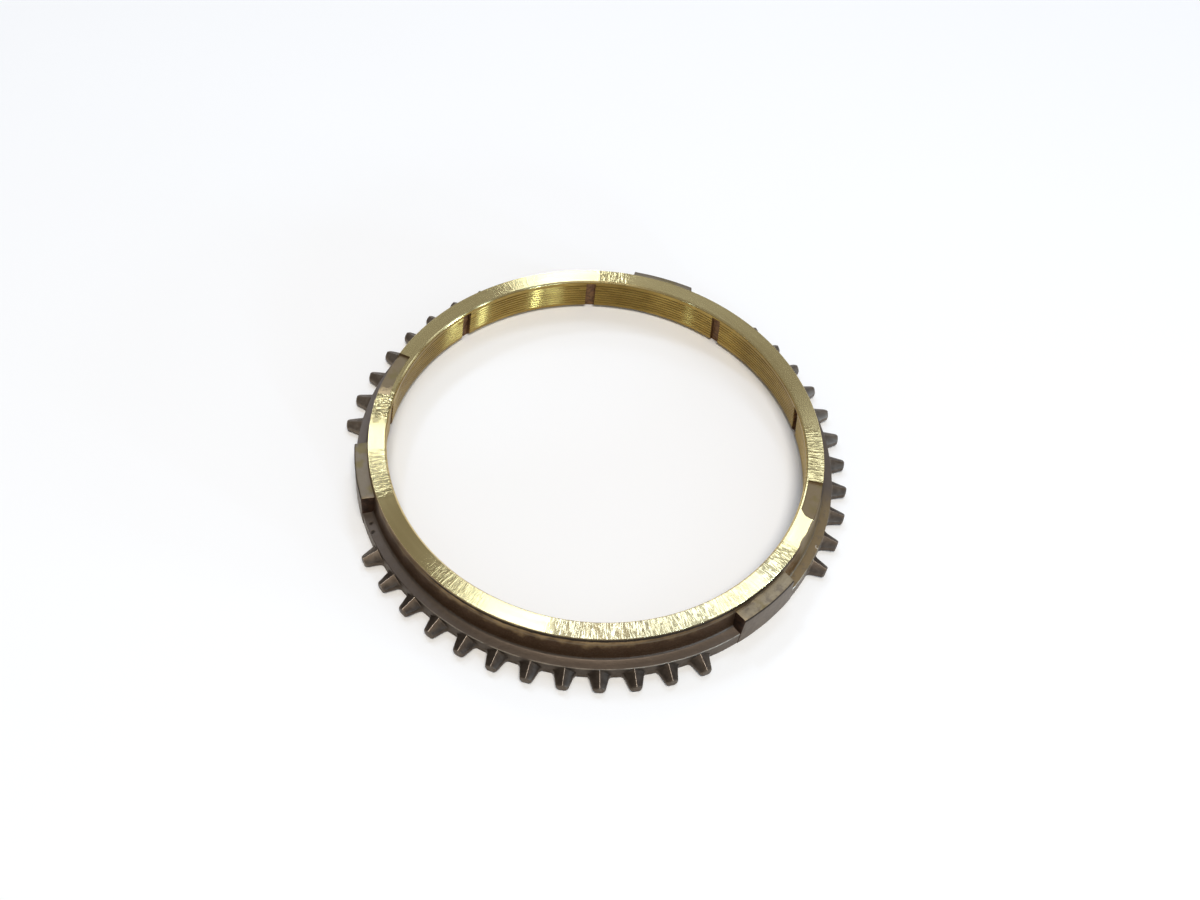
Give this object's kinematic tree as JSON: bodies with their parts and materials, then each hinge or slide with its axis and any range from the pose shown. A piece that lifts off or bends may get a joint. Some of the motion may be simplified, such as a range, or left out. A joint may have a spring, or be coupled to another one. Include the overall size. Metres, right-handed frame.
{
  "type": "synchronizer ring",
  "caption": "Brass synchronizer ring with a tapered friction bore, oil slots, locating lugs and roof-pointed blocking teeth; it brings a gear to the sleeve's speed before they engage.",
  "frame": {"origin": "on the ring axis, in the plane of the gear-side face", "axes": "+Z along the ring axis to the hub side, +Y through the middle of one lug"},
  "size_m": [0.0998, 0.0975, 0.009],
  "materials": {
    "brass": "turned bright on the top face and bore, dull forged skin elsewhere"
  },
  "bodies": {
    "root": {"synchronizer_ring": "brass"}
  },
  "joints": []
}
